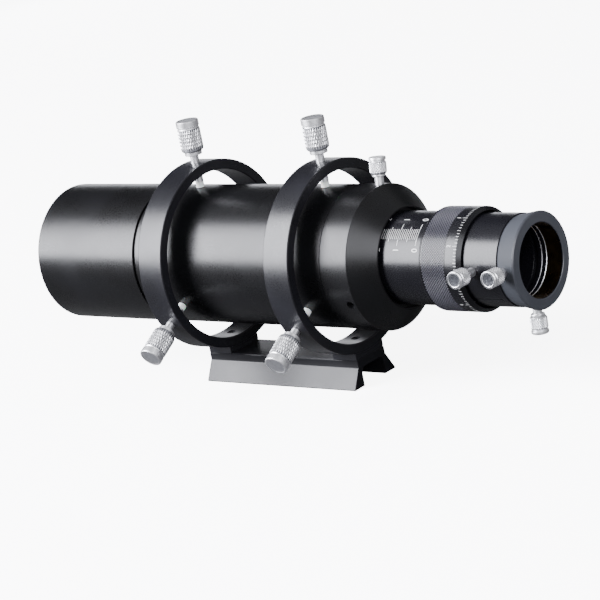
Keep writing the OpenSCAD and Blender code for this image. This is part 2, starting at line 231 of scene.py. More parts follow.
# Nickel-plated brass thumbscrews, almost white where they face the light. The bore's cut edges share it, as
# painted glint
SCREW_BRIGHT = bare_metal("nickel_thumbscrew_and_painted_bore_glint", "#f2f2f4", "#e8e8ea", 0.42, 1.5, 0.002)
# Their turned ends are duller, with the tool's rings
SCREW_END = bare_metal("faced_thumbscrew_end", "#d8d9de", "#cbccd1", 0.36, 1.0, 0.004)
# The small screws' ends show darker, rougher tool rings
SMALL_END = bare_metal("faced_small_screw_end", "#8a8c92", "#74767c", 0.22, 0.8, 0.004)
# The knurl's grooves: the nickel painted darker, as painted shade
GROOVE_PAINTED_SHADE = bare_metal("knurl_groove_painted_shade", "#85868b", "#77787d", 0.45, 1.5, 0.002)
# Black-oxide steel screws
DARK_STEEL = bare_metal("black_oxide_steel", "#3a3b3e", "#2c2d30", 0.42, 0.6, 0.004)
# Turned brass ring and screw tips, the brass painted darker as shade for the ring deep in the bore
BRASS_PAINTED_SHADE = bare_metal("turned_brass_painted_shade", "#76603c", "#6c5736", 0.30, 6.0, 0.002)
# White nylon tips
NYLON = flat_coat("moulded_white_nylon", "#f1f1ee", "#e6e6e0", 0.45, 0.8, 0.01, Subsurface_Weight=0.15)
# White paint that fills the engraved scale
SCALE_WHITE = flat_coat("filled_white_engraving", "#d9d9d7", "#cdcdcb", 0.55, 0.4, 0.01)
# Flat black paint inside the tube
FLAT_BLACK = flat_coat("flat_black_paint", "#0c0c0d", "#080809", 0.85, 0.5, 0.02)
# The two lenses: multicoated optical glass
CROWN = lens_glass("coated_crown_glass", "#e4f2ea", 1.52)
FLINT = lens_glass("coated_flint_glass", "#e8eee0", 1.62)
# Thin tin spacer between the lenses
FOIL = bare_metal("tin_foil", "#8d9094", "#7c7f84", 0.35, 0.8, 0.004)


# Mesh helpers --------------------------------------------------------------------------------------

TINY = 1e-6                                 # below this, a length in mm counts as none
STRAIGHT = math.radians(175)                # a corner flatter than this isn't rounded
MOST_OF_A_SIDE = 0.4                        # a fillet takes no more of either side than this


def rounded(points, steps=3):
    """A closed outline with its corners rounded. Each point is (x, r, fillet)."""
    spots = [Vector(p[:2]) for p in points]
    out = []
    for i, here in enumerate(spots):
        radius = points[i][2]
        before, after = spots[i - 1] - here, spots[(i + 1) % len(spots)] - here
        turn = before.angle(after)
        if radius <= 0 or turn > STRAIGHT:
            out.append(here)
            continue
        tangent = min(radius / math.tan(turn / 2), MOST_OF_A_SIDE * before.length,
                      MOST_OF_A_SIDE * after.length)
        radius = tangent * math.tan(turn / 2)
        one_way, other_way = before.normalized(), after.normalized()
        middle = here + (one_way + other_way).normalized() * radius / math.sin(turn / 2)
        start, end = here + one_way * tangent - middle, here + other_way * tangent - middle
        bend = start.angle_signed(end)
        for k in range(steps + 1):
            spoke = start.copy()
            spoke.rotate(Matrix.Rotation(-bend * k / steps, 2))
            out.append(middle + spoke)
    return out


ROUND = 192                                 # sides of a large turned piece


def spin(outline, sides=ROUND, closed=True):
    """Turns an outline of (x, r) round the X axis. A point at r = 0 becomes a pole."""
    mesh = bmesh.new()
    rows = []
    for x, r in outline:
        if r < TINY:
            rows.append([mesh.verts.new((x * MM, 0, 0))])
        else:
            rows.append([mesh.verts.new((x * MM, r * MM * math.sin(a), r * MM * math.cos(a)))
                         for a in (2 * math.pi * k / sides for k in range(sides))])
    pairs = list(zip(rows, rows[1:] + rows[:1])) if closed else list(zip(rows, rows[1:]))
    for one, two in pairs:
        for k in range(sides):
            n = (k + 1) % sides
            corners = [one[k % len(one)], one[n % len(one)], two[n % len(two)], two[k % len(two)]]
            corners = [c for i, c in enumerate(corners) if c not in corners[:i]]
            if len(corners) > 2:
                mesh.faces.new(corners)
    bmesh.ops.recalc_face_normals(mesh, faces=mesh.faces)
    return mesh


def outward(x, angle, radius=0.0):
    """Frame of a screw or a hole: local X points out from the optical axis, at an angle in degrees from
    the top towards -Y."""
    turn = Matrix.Rotation(math.radians(angle), 4, "X") @ Matrix.Rotation(-math.pi / 2, 4, "Y")
    place = Matrix.Translation(Vector((x, 0, AXIS_Z)) * MM)
    return place @ turn @ Matrix.Translation((radius * MM, 0, 0))


ON_AXIS = Matrix.Translation((0, 0, AXIS_Z * MM))
IN_PLACE = Matrix.Identity(4)


def as_object(mesh, name, place=ON_AXIS):
    """An object at the origin, with its place in its mesh."""
    data = bpy.data.meshes.new(name)
    mesh.to_mesh(data)
    mesh.free()
    data.transform(place)
    made = bpy.data.objects.new(name, data)
    bpy.context.scene.collection.objects.link(made)
    return made


def baked(thing):
    """Applies every modifier and leaves a plain mesh."""
    graph = bpy.context.evaluated_depsgraph_get()
    data = bpy.data.meshes.new_from_object(thing.evaluated_get(graph))
    thing.modifiers.clear()
    thing.data = data


# Corners sharper than this many degrees stay crisp: on turned pieces, and on the flanks of a knurl's teeth
TURNED_CRISP, KNURL_CRISP = 38, 14


def combined(thing, tool, operation):
    """Cuts a tool out of a piece or joins it on, and removes the tool."""
    step = thing.modifiers.new("combine", "BOOLEAN")
    step.operation, step.solver, step.object = operation, "EXACT", tool
    baked(thing)
    bpy.data.objects.remove(tool)


def block(name, place):
    """A unit cube, stretched and set by its place."""
    cube = bmesh.new()
    bmesh.ops.create_cube(cube, size=1.0)
    return as_object(cube, name, place)


def drilled(thing, holes):
    """Cuts round holes: (station, angle, radius, from, to) each, square to the optical axis."""
    drill = bmesh.new()
    along_x = Matrix.Rotation(math.pi / 2, 4, "Y")
    for x, angle, radius, start, end in holes:
        bmesh.ops.create_cone(drill, cap_ends=True, segments=40, radius1=radius * MM, radius2=radius * MM,
                              depth=(end - start) * MM,
                              matrix=outward(x, angle, (start + end) / 2) @ along_x)
    combined(thing, as_object(drill, "drill", IN_PLACE), "DIFFERENCE")


def finished(thing, finishes, body, nodes, picks=None, crisp=TURNED_CRISP):
    """Gives a piece its finishes, smooth shading with crisp corners above an angle in degrees, its body and
    the nodes it stands for. The picks function says which finish a face takes."""
    thing.data.materials.clear()
    for finish in finishes:
        thing.data.materials.append(finish)
    for face in thing.data.polygons:
        face.use_smooth = True
        face.material_index = picks(face) if picks else 0
    thing.data.set_sharp_from_angle(angle=math.radians(crisp))
    weights = thing.modifiers.new("even_normals", "WEIGHTED_NORMAL")
    weights.keep_sharp = True
    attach(thing, body)
    if nodes:
        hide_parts(*nodes)


def turned(outline, name):
    """A closed turned shape. Each point of its outline is (x, r, fillet)."""
    return as_object(spin(rounded(outline)), name)


def turned_part(node, outline, finishes, holes=(), picks=None):
    """A turned piece that stands for a node of the same place and size."""
    thing = turned(outline, node + "_turned")
    if holes:
        drilled(thing, holes)
    finished(thing, finishes, BODY_OF[node], [node], picks)


# Repeats: knurls and scale marks -------------------------------------------------------------------

def repeat_tree(name, sockets):
    """An empty geometry tree with named inputs and a mesh output."""
    tree = bpy.data.node_groups.new(name, "GeometryNodeTree")
    for key, kind in sockets.items():
        tree.interface.new_socket(key, in_out="INPUT", socket_type="NodeSocket" + kind)
    tree.interface.new_socket("Mesh", in_out="OUTPUT", socket_type="NodeSocketGeometry")
    return tree, tree.nodes.new("NodeGroupInput").outputs


def close_tree(tree, shape, finish):
    """Makes the instances real, gives them their finish and ends the tree."""
    real = add(tree, "GeometryNodeRealizeInstances", {"Geometry": shape})
    painted = add(tree, "GeometryNodeSetMaterial", {"Geometry": real.outputs[0], "Material": finish})
    add(tree, "NodeGroupOutput", {"Mesh": painted.outputs[0]})
    return tree


BLUNT_TOP = 0.4                             # a tooth's flat top, as a share of its foot


def knurl_tree():
    """Diamond knurl: staggered rows of blunt pyramids round the X axis."""
    tree, given = repeat_tree("diamond_knurl", {"Radius": "Float", "Length": "Float", "Around": "Int",
                                                "Rows": "Int", "Depth": "Float", "Fill": "Float",
                                                "Finish": "Material"})
    # Half a tooth is added to the index, so that its row is sure to round down
    place = add(tree, "GeometryNodeInputIndex").outputs[0]
    row = calc(tree, "FLOOR", calc(tree, "DIVIDE", calc(tree, "ADD", place, 0.5), given["Around"]))
    column = calc(tree, "SUBTRACT", place, calc(tree, "MULTIPLY", row, given["Around"]))
    stagger = calc(tree, "MULTIPLY", calc(tree, "MODULO", row, 2.0), 0.5)
    step = calc(tree, "DIVIDE", 2 * math.pi, given["Around"])
    angle = calc(tree, "MULTIPLY", calc(tree, "ADD", column, stagger), step)
    half = calc(tree, "DIVIDE", given["Length"], calc(tree, "ADD", given["Rows"], 1.0))
    x = calc(tree, "MULTIPLY", calc(tree, "ADD", row, 1.0), half)
    y = calc(tree, "MULTIPLY", calc(tree, "SINE", angle), given["Radius"])
    z = calc(tree, "MULTIPLY", calc(tree, "COSINE", angle), given["Radius"])
    spot = add(tree, "ShaderNodeCombineXYZ", {0: x, 1: y, 2: z})
    points = add(tree, "GeometryNodePoints", {"Count": calc(tree, "MULTIPLY", given["Around"], given["Rows"]),
                                              "Position": spot.outputs[0]})
    tooth = add(tree, "GeometryNodeMeshCone", {"Vertices": 4, "Radius Top": BLUNT_TOP,
                                               "Radius Bottom": 1.0, "Depth": 1.0})
    lean = add(tree, "ShaderNodeCombineXYZ", {0: calc(tree, "MULTIPLY", angle, -1.0), 1: 0.0, 2: 0.0})
    half_pitch = calc(tree, "MULTIPLY", calc(tree, "MULTIPLY", given["Radius"], step), 0.5)
    size = add(tree, "ShaderNodeCombineXYZ", {0: calc(tree, "MULTIPLY", half, given["Fill"]),
                                              1: calc(tree, "MULTIPLY", half_pitch, given["Fill"]),
                                              2: given["Depth"]})
    teeth = add(tree, "GeometryNodeInstanceOnPoints", {
        "Points": points.outputs[0], "Instance": tooth.outputs[0], "Rotation": lean.outputs[0],
        "Scale": size.outputs[0]})
    return close_tree(tree, teeth.outputs[0], given["Finish"])


def marks_tree():
    """A scale: flat marks set out along X and round the axis, longer at each fifth and tenth, then
    wrapped onto a cylinder. Step is the way from mark to mark, Line a mark's own width and height, Grow
    the way that it lengthens, and Anchor how far its middle is set back, as a share of its length."""
    tree, given = repeat_tree("scale_marks", {"Radius": "Float", "Count": "Int", "Step": "Vector",
                                              "Line": "Vector", "Grow": "Vector", "Short": "Float",
                                              "Medium": "Float", "Long": "Float", "Anchor": "Float",
                                              "Finish": "Material"})
    place = add(tree, "GeometryNodeInputIndex").outputs[0]

    def at_each(number):
        """1 at each multiple of the number, and 0 elsewhere."""
        return calc(tree, "LESS_THAN", calc(tree, "MODULO", calc(tree, "ADD", place, 0.25), number), 0.5)

    fifth = calc(tree, "MULTIPLY", at_each(5.0), calc(tree, "SUBTRACT", given["Medium"], given["Short"]))
    tenth = calc(tree, "MULTIPLY", at_each(10.0), calc(tree, "SUBTRACT", given["Long"], given["Medium"]))
    length = calc(tree, "ADD", calc(tree, "ADD", given["Short"], fifth), tenth)

    def vector(operation, first, second):
        """The result of a Vector Math node. Its SCALE takes a plain number."""
        inputs = {0: first, "Scale" if operation == "SCALE" else 1: second}
        return add(tree, "ShaderNodeVectorMath", inputs, operation=operation).outputs[0]

    grown = vector("SCALE", given["Grow"], length)
    size = vector("ADD", grown, given["Line"])
    pace = vector("SCALE", given["Step"], place)
    spot = vector("SUBTRACT", pace, vector("SCALE", grown, given["Anchor"]))
    points = add(tree, "GeometryNodePoints", {"Count": given["Count"], "Position": spot})
    stroke = add(tree, "GeometryNodeMeshCube", {"Size": (1, 1, 1), "Vertices X": 2, "Vertices Y": 9,
                                                "Vertices Z": 2})
    strokes = add(tree, "GeometryNodeInstanceOnPoints", {"Points": points.outputs[0], "Scale": size,
                                                         "Instance": stroke.outputs[0]})
    flat = add(tree, "GeometryNodeRealizeInstances", {"Geometry": strokes.outputs[0]})
    part = add(tree, "ShaderNodeSeparateXYZ",
               {0: add(tree, "GeometryNodeInputPosition").outputs[0]}).outputs
    angle = calc(tree, "DIVIDE", part["Y"], given["Radius"])
    radius = calc(tree, "ADD", part["Z"], given["Radius"])
    y = calc(tree, "MULTIPLY", calc(tree, "SINE", angle), calc(tree, "MULTIPLY", radius, -1.0))
    z = calc(tree, "MULTIPLY", calc(tree, "COSINE", angle), radius)
    bent = add(tree, "ShaderNodeCombineXYZ", {0: part["X"], 1: y, 2: z})
    wrapped = add(tree, "GeometryNodeSetPosition", {"Geometry": flat.outputs[0],
                                                    "Position": bent.outputs[0]})
    return close_tree(tree, wrapped.outputs[0], given["Finish"])


def grown_from(tree, name, place, **values):
    """Runs a geometry tree with these inputs and returns its result as a plain mesh object."""
    thing = as_object(bmesh.new(), name, IN_PLACE)
    run = thing.modifiers.new("repeat", "NODES")
    run.node_group = tree
    sockets = {s.name: s.identifier for s in tree.interface.items_tree if s.in_out == "INPUT"}
    for key, value in values.items():
        run[sockets[key.replace("_", " ")]] = value
    baked(thing)
    thing.data.transform(place)
    return thing


KNURL = knurl_tree()
MARKS = marks_tree()


def merged(things, name):
    """Joins plain mesh objects into one, keeping their materials."""
    keep = things[0]
    with bpy.context.temp_override(active_object=keep, object=keep, selected_editable_objects=things,
                                   selected_objects=things):
        bpy.ops.object.join()
    keep.name = name
    return keep


SUNK = 1.02                                 # a tooth starts a hair inside the metal, so that it closes on it


def knurled(thing, name, radius, start, length, pitch, depth, finish, place=ON_AXIS, stretch=1.0, fill=0.92):
    """Adds a band of knurl to a turned piece. Its teeth are longer along the axis by the stretch, and
    fill a share of their pitch."""
    around = round(2 * math.pi * radius / pitch)
    rows = 2 * round(length / (pitch * stretch)) - 1
    band = grown_from(KNURL, name + "_knurl", place @ Matrix.Translation((start * MM, 0, 0)),
                      Radius=(radius - depth * SUNK) * MM, Length=length * MM, Around=around, Rows=rows,
                      Depth=depth * MM, Fill=fill, Finish=finish)
    merged([thing, band], name)


# Tube ----------------------------------------------------------------------------------------------

hood_x0, hood_x1 = span("lens_hood")
hood_r = reach("lens_hood")
cell_x0, cell_x1 = span("objective_cell")
tube_x0, tube_x1 = span("main_tube")
tube_r = reach("main_tube")
body_x0, body_x1 = span("rear_body")
body_r = reach("rear_body")
draw_x0, draw_x1 = span("drawtube")
draw_r = reach("drawtube")

HOOD_BORE, HOOD_THREAD, CELL_THREAD = 30.6, 31.45, 31.35
TUBE_BORE, SPIGOT_R = 30, 29.95             # the cell and the rear body slide into the tube's bore
BODY_BORE, LIP_R, CONE_END_R = 28, 21.9, 22.65
CONE_L = 9.7
SEAM_W, SEAM_DEPTH = 0.45, 0.6              # the groove where the tube meets the rear body
M4_HOLE = 2.05                              # radius of the holes that take the screws


def hood_finish(face):
    """The hood's inside is painted flat black."""
    return 1 if off_axis(face) < HOOD_THREAD + 0.05 else 0


turned_part("lens_hood", [(hood_x0, HOOD_BORE + 0.15, 0.1), (hood_x0, hood_r, 0.45), (hood_x1, hood_r, 0.35),
                          (hood_x1, HOOD_THREAD, 0.05), (hood_x1 - 6.8, HOOD_THREAD, 0),
                          (hood_x1 - 6.8, HOOD_BORE, 0), (hood_x0 + 0.4, HOOD_BORE, 0.1)],
            [TUBE_BLACK, FLAT_BLACK], picks=hood_finish)

# The cell: a threaded front, a flange as wide as the tube, and a spigot with the lenses' seat
flange_x = hood_x1 + 1.2
turned_part("objective_cell", [(cell_x0, 30.5, 0.1), (cell_x0, CELL_THREAD, 0.1),
                               (flange_x, CELL_THREAD, 0.02), (flange_x, tube_r, 0.35),
                               (tube_x0, tube_r, 0.05), (tube_x0, SPIGOT_R, 0.02), (cell_x1, SPIGOT_R, 0.1),
                               (cell_x1, 28.8, 0.1), (cell_x1 - 10.6, 28.8, 0),
                               (cell_x1 - 12.4, 29.8, 0), (cell_x1 - 12.4, 30.5, 0)], [TUBE_BLACK])

turned_part("main_tube", [(tube_x0, TUBE_BORE, 0.05), (tube_x0, tube_r, 0.05),
                          (tube_x1 - SEAM_W, tube_r, 0.12), (tube_x1 - SEAM_W, tube_r - SEAM_DEPTH, 0),
                          (tube_x1, tube_r - SEAM_DEPTH, 0), (tube_x1, TUBE_BORE, 0.05)], [TUBE_BLACK])

# The rear body: a spigot, a plain length with three screw holes, and a cone down to the drawtube's lip
LOCK_X = middle_of("drawtube_lock_screw")
LOCK_ANGLES = (-8, 112, 232)
turned_part("rear_body", [(body_x0, BODY_BORE, 0.1), (body_x0, SPIGOT_R, 0.1), (tube_x1, SPIGOT_R, 0.02),
                          (tube_x1, body_r - 0.02, 0.2), (body_x1 - CONE_L, body_r, 0.5),
                          (body_x1, CONE_END_R, 0.5), (body_x1, LIP_R, 0.1), (body_x1 - 3, LIP_R, 0.05),
                          (body_x1 - 3, draw_r + 0.05, 0.05), (tube_x1 + 3, draw_r + 0.05, 0.1),
                          (tube_x1 + 3, BODY_BORE, 0.1)],
            [TUBE_BLACK], holes=[(LOCK_X, a, M4_HOLE, draw_r - 1, body_r + 2) for a in LOCK_ANGLES])


# Rings and bar -------------------------------------------------------------------------------------

RING_WALL, RING_EDGE = 4.8, 0.5
PAD_WIDTH = 20                              # the flat foot under each ring
BOLT_HOLE, BOLT_HEAD = 2.15, 3.7            # radii of a cap screw's hole and counterbore


def ring(node):
    """A ring with its flat pad, three screw holes and the counterbored bolt hole."""
    x0, x1 = span(node)
    middle = (x0 + x1) / 2
    outer = reach(node)
    inner = outer - RING_WALL
    thing = turned([(x, r, RING_EDGE) for x, r in ((x0, inner), (x0, outer), (x1, outer), (x1, inner))],
                   node + "_turned")
    pad_low, pad_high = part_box(node)[0].z / MM, AXIS_Z - inner - 2.6
    place = (Matrix.Translation(Vector((middle, 0, (pad_low + pad_high) / 2)) * MM)
             @ Matrix.Diagonal((*(Vector((x1 - x0 - 0.6, PAD_WIDTH, pad_high - pad_low)) * MM), 1)))
    combined(thing, block("pad", place), "UNION")
    drilled(thing, [(middle, a, M4_HOLE, inner - 2, outer + 2) for a in (0, 120, 240)]
            + [(middle, 180, BOLT_HOLE, inner - 2, outer + 6),
               (middle, 180, BOLT_HEAD, inner - 5, inner + 2.9)])
    finished(thing, [RING_BLACK], BODY_OF[node], [node])


RINGS = ("front_ring", "rear_ring")
for node in RINGS:
    ring(node)


def bar():
    """The dovetail bar: its outline drawn along X, with bevelled edges and the two bolt holes."""
    x0, x1 = span("dovetail_bar")
    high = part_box("dovetail_bar")[1]
    top, foot = high.z / MM, high.y / MM
    # One side, from the foot up the dovetail's flank to the top, then the channel underneath
    flank = [(foot - 0.25, 0), (foot, 0.5), (10.35, 8.6), (10, 9.3), (10, top - 0.5), (9.5, top)]
    channel = [(7.8, 0), (7.8, 6.1), (7.47, 7.35), (6.55, 8.27), (5.3, 8.6)]
    outline = ([(-y, z) for y, z in flank] + [(y, z) for y, z in reversed(flank)]
               + channel + [(-y, z) for y, z in reversed(channel)])
    mesh = bmesh.new()
    face = mesh.faces.new([mesh.verts.new((x0 * MM, y * MM, z * MM)) for y, z in outline])
    grown = bmesh.ops.extrude_face_region(mesh, geom=[face])["geom"]
    bmesh.ops.translate(mesh, vec=((x1 - x0) * MM, 0, 0),
                        verts=[v for v in grown if isinstance(v, bmesh.types.BMVert)])
    bmesh.ops.recalc_face_normals(mesh, faces=mesh.faces)
    ends = [e for e in mesh.edges if abs(e.verts[0].co.x - e.verts[1].co.x) < TINY * MM]
    bmesh.ops.bevel(mesh, geom=ends, offset=0.3 * MM, segments=2, affect="EDGES", profile=0.6)
    thing = as_object(mesh, "dovetail_bar_milled", IN_PLACE)
    drilled(thing, [(middle_of(n), 180, M4_HOLE, AXIS_Z - top - 1, AXIS_Z - 7) for n in RINGS])
    finished(thing, [BAR_BLACK], BODY_OF["dovetail_bar"], ["dovetail_bar"])


bar()


# Focuser -------------------------------------------------------------------------------------------

grip_x0, grip_x1 = span("focus_grip")
grip_r = reach("focus_grip")
collar_x1 = span("micrometer_collar")[1]
sleeve_x0, sleeve_x1 = span("eyepiece_sleeve")
sleeve_r = reach("eyepiece_sleeve")
holder_x1 = span("eyepiece_holder")[1]
rim_r = reach("eyepiece_holder")
SIDE, LOWER = (math.degrees(math.atan2(-AXES[n].y, AXES[n].z)) for n in
               ("eyepiece_side_turn", "eyepiece_lower_turn"))
KEY_ANGLE = 240                             # of the guide key and of the groove that it runs in

turned_part("drawtube", [(draw_x0, 18.4, 0.1), (draw_x0, draw_r, 0.3), (grip_x0 - 0.1, draw_r, 0.1),
                         (grip_x0 - 0.1, 19.5, 0.05), (grip_x0 + 6, 19.5, 0.05), (grip_x0 + 6, 18, 0.05),
                         (grip_x0 + 1, 18, 0.05), (grip_x0 + 1, 17.3, 0.05), (draw_x1, 17.3, 0.15),
                         (draw_x1, 16.4, 0.15), (grip_x0 - 4, 16.4, 0.05), (grip_x0 - 6, 18.4, 0.05)],
            [DRAW_BLACK], holes=[(middle_of("guide_key"), KEY_ANGLE, 1.0, 15, 18)])

# The grip: a plain barrel just under the knurl, with two narrow smooth rims and a grub screw's hole
GRIP_BORE, GRIP_KNURL = 20.95, 0.28
barrel_r = grip_r - GRIP_KNURL
grip = turned([(grip_x0, GRIP_BORE, 0), (grip_x0, grip_r - 0.15, 0.3), (grip_x0 + 0.7, grip_r - 0.05, 0.15),
               (grip_x0 + 0.9, barrel_r, 0), (grip_x1 - 0.35, barrel_r, 0),
               (grip_x1 - 0.25, grip_r - 0.1, 0.05), (grip_x1, grip_r - 0.15, 0.05),
               (grip_x1, GRIP_BORE, 0)], "focus_grip_base")
drilled(grip, [(grip_x0 + 3.5, 31, 1.05, 20, grip_r + 1)])
barrel_faces = len(grip.data.polygons)
knurled(grip, "focus_grip_knurled", grip_r, start=grip_x0 + 0.9, length=grip_x1 - grip_x0 - 1.2, pitch=1.3,
        depth=GRIP_KNURL, finish=KNURL_PAINTED_HIGHLIGHT, fill=0.8)
# The barrel stays black, and the teeth take the painted highlight
finished(grip, [DRAW_BLACK, KNURL_PAINTED_HIGHLIGHT], BODY_OF["focus_grip"], ["focus_grip"],
         picks=lambda face: 0 if face.index < barrel_faces else 1, crisp=KNURL_CRISP)

# The collar: a sleeve inside the grip and a wider part behind it, with a bevelled rear edge
COLLAR_BEVEL = 1.6
collar_x0 = grip_x1 + 0.02
turned_part("micrometer_collar", [(grip_x0, 19.55, 0.05), (grip_x0, 20.88, 0.02), (collar_x0, 20.88, 0.02),
                                  (collar_x0, grip_r, 0.12), (collar_x1 - COLLAR_BEVEL, grip_r, 0.2),
                                  (collar_x1, 20.95, 0.1), (collar_x1, 20.8, 0.05),
                                  (collar_x1 - 2.5, 20.8, 0.05), (collar_x1 - 3, 19.95, 0.05),
                                  (sleeve_x0 - 3, 19.95, 0.02), (sleeve_x0 - 3, 20.4, 0.02),
                                  (grip_x0 + 5.9, 20.4, 0.02), (grip_x0 + 5.9, 19.55, 0.02)], [DRAW_BLACK])


def slotted(thing, x0, x1, angle, width, r0, r1):
    """Cuts a straight groove along X."""
    size = Matrix.Diagonal((*(Vector((r1 - r0, width, x1 - x0)) * MM), 1))
    mill = block("mill", outward((x0 + x1) / 2, angle, (r0 + r1) / 2) @ size)
    combined(thing, mill, "DIFFERENCE")


# The sleeve: the key's groove inside its front end, a fine guide line outside and the lock screw's hole
SLEEVE_BORE, SOCKET_R, SOCKET_L = 17.35, 18.45, 4
sleeve = turned([(sleeve_x0, SLEEVE_BORE, 0.1), (sleeve_x0, sleeve_r, 0.2), (sleeve_x1, sleeve_r, 0.12),
                 (sleeve_x1, SOCKET_R, 0.02), (sleeve_x1 - SOCKET_L, SOCKET_R, 0.02),
                 (sleeve_x1 - SOCKET_L, SLEEVE_BORE, 0.05)], "eyepiece_sleeve_turned")
slotted(sleeve, sleeve_x0 - 1, sleeve_x0 + 13.5, KEY_ANGLE, 2.1, 16.3, 18.8)
slotted(sleeve, collar_x1 - 2, collar_x1 + 14.8, 128, 0.6, sleeve_r - 0.35, sleeve_r + 1)
drilled(sleeve, [(middle_of("helical_lock_screw"), SIDE, M4_HOLE, 16, 21)])
finished(sleeve, [DRAW_BLACK], BODY_OF["eyepiece_sleeve"], ["eyepiece_sleeve"])

# The holder: a spigot in the sleeve, a flared band, a flat end, and in its bore the seat of the
# compression ring, whose edge and a V groove are left sharp and painted bright, as painted glint
holder_x0 = sleeve_x1
FACE_X = holder_x1 - 0.7
SPIGOT_L, HOLDER_SPIGOT_R, SEAT_R = 3.9, 18.4, 17
CUT = 0.25
seat_x = holder_x0 + 0.7
groove_x = holder_x0 - 1.6


def holder_finish(face):
    """The flare and the turned end are painted grey as sheen, and the sharp edges cut inside the bore are bare
    metal painted near-white as glint.
    """
    # The end's face takes the painted sheen
    if face.center.x > FACE_X * MM:
        return 1 if face.normal.x > 0.25 else 0
    # The flared band takes the painted sheen
    if off_axis(face) > sleeve_r - 0.8 and face.center.x > holder_x0 * MM:
        return 3
    # The cut edges in the bore take the near-white nickel as painted glint
    inside = EYEPIECE_R + 0.02 < off_axis(face) < EYEPIECE_R + CUT and face.center.x > (holder_x0 - 3) * MM
    return 2 if inside and abs(face.normal.x) > 0.3 else 0


turned_part("eyepiece_holder", [(holder_x0 - SPIGOT_L, EYEPIECE_R, 0.1),
                                (holder_x0 - SPIGOT_L, HOLDER_SPIGOT_R, 0.1), (holder_x0, HOLDER_SPIGOT_R, 0),
                                (holder_x0, sleeve_r - 0.55, 0), (holder_x1 - 0.6, rim_r, 0.2),
                                (holder_x1, rim_r - 0.5, 0.25), (holder_x1, EYEPIECE_R + 0.3, 0.1),
                                (holder_x1 - 0.3, EYEPIECE_R, 0.1), (holder_x1 - 1, EYEPIECE_R, 0.02),
                                (holder_x1 - 1, SEAT_R, 0.02), (seat_x, SEAT_R, 0.02),
                                (seat_x, EYEPIECE_R + CUT, 0), (seat_x - CUT, EYEPIECE_R, 0),
                                (groove_x, EYEPIECE_R, 0), (groove_x - CUT, EYEPIECE_R + CUT, 0),
                                (groove_x - 1.5 * CUT, EYEPIECE_R, 0)],
            [DRAW_BLACK, FACE_PAINTED_SHEEN, SCREW_BRIGHT, FLARE_PAINTED_SHEEN], picks=holder_finish,
            holes=[(middle_of("eyepiece_side_screw"), a, M4_HOLE, 16.4, 23) for a in (SIDE, LOWER)])


# Scale marks and numbers ---------------------------------------------------------------------------

INK = 0.03                                  # height of the white filling over the metal
EM = 1.4                                    # a digit's font size, as a multiple of its height
WIDE = 0.85                                 # the digits' width, as a share of the font's


def numbers(labels, radius, size, name):
    """Digits wrapped onto a cylinder: (text, station, angle) each, their tops towards the hood."""
    whole = bmesh.new()
    for text, x, angle in labels:
        curve = bpy.data.curves.new("digit", "FONT")
        curve.body, curve.size, curve.align_x, curve.align_y = text, size * EM * MM, "CENTER", "CENTER"
        digit = bpy.data.objects.new("digit", curve)
        bpy.context.scene.collection.objects.link(digit)
        graph = bpy.context.evaluated_depsgraph_get()
        data = bpy.data.meshes.new_from_object(digit.evaluated_get(graph))
        flat = bmesh.new()
        flat.from_mesh(data)
        bmesh.ops.triangulate(flat, faces=flat.faces)
        bmesh.ops.subdivide_edges(flat, edges=flat.edges, cuts=2, use_grid_fill=True)
        for v in flat.verts:
            around = math.radians(angle) - v.co.x * WIDE / (radius * MM)
            out = (radius + INK) * MM
            v.co = Vector((x * MM - v.co.y, -out * math.sin(around), out * math.cos(around)))
        bmesh.ops.recalc_face_normals(flat, faces=flat.faces)
        if sum(f.normal.dot(f.calc_center_median() * Vector((0, 1, 1))) for f in flat.faces) < 0:
            bmesh.ops.reverse_faces(flat, faces=flat.faces)
        flat.to_mesh(data)
        flat.free()
        whole.from_mesh(data)
        bpy.data.objects.remove(digit)
    return as_object(whole, name)


def scale_piece(ticks, digits, name, body):
    """Joins marks and digits into one piece of white filling."""
    finished(merged([ticks, digits], name), [SCALE_WHITE], body, [])


def scale_place(station, angle):
    """Where a scale begins: its station on the optical axis and its angle from the top."""
    return (ON_AXIS @ Matrix.Rotation(math.radians(angle), 4, "X")
            @ Matrix.Translation((station * MM, 0, 0)))


# Drawtube: a millimetre scale from its zero near the grip, with a number on both sides of each centimetre
SCALE_ZERO = grip_x0 - 3.9
SCALE_ANGLE, DIGIT_ANGLES = 42, (18.8, 62.5)
ticks = grown_from(MARKS, "drawtube_ticks", scale_place(SCALE_ZERO, SCALE_ANGLE), Radius=draw_r * MM,
                   Count=41, Step=(-1 * MM, 0, 0), Line=(0.17 * MM, 0, INK * MM), Grow=(0, 1, 0),
                   Short=5.0 * MM, Medium=7.2 * MM, Long=10.7 * MM, Anchor=0.0, Finish=SCALE_WHITE)
digits = numbers([(str(n), SCALE_ZERO - 10 * n, a) for n in range(5) for a in DIGIT_ANGLES], draw_r, 3.0,
                 "drawtube_digits")
scale_piece(ticks, digits, "drawtube_scale", BODY_OF["drawtube"])

# Collar: a hundred divisions along its rear edge, a number at each tenth
DIVISIONS, FIRST_ANGLE = 100, 21.9
division = 2 * math.pi * grip_r / DIVISIONS
ticks = grown_from(MARKS, "collar_ticks", scale_place(collar_x1 - COLLAR_BEVEL, FIRST_ANGLE),
                   Radius=grip_r * MM, Count=DIVISIONS, Step=(0, division * MM, 0),
                   Line=(0, 0.13 * MM, INK * MM), Grow=(1, 0, 0), Short=1.3 * MM, Medium=1.7 * MM,
                   Long=2.3 * MM, Anchor=0.5, Finish=SCALE_WHITE)
digits = numbers([(str((n + 1) % 10), grip_x1 + 1.75, FIRST_ANGLE + 36 * n) for n in range(10)], grip_r, 1.9,
                 "collar_digits")
scale_piece(ticks, digits, "collar_scale", BODY_OF["micrometer_collar"])


# Thumbscrews ---------------------------------------------------------------------------------------

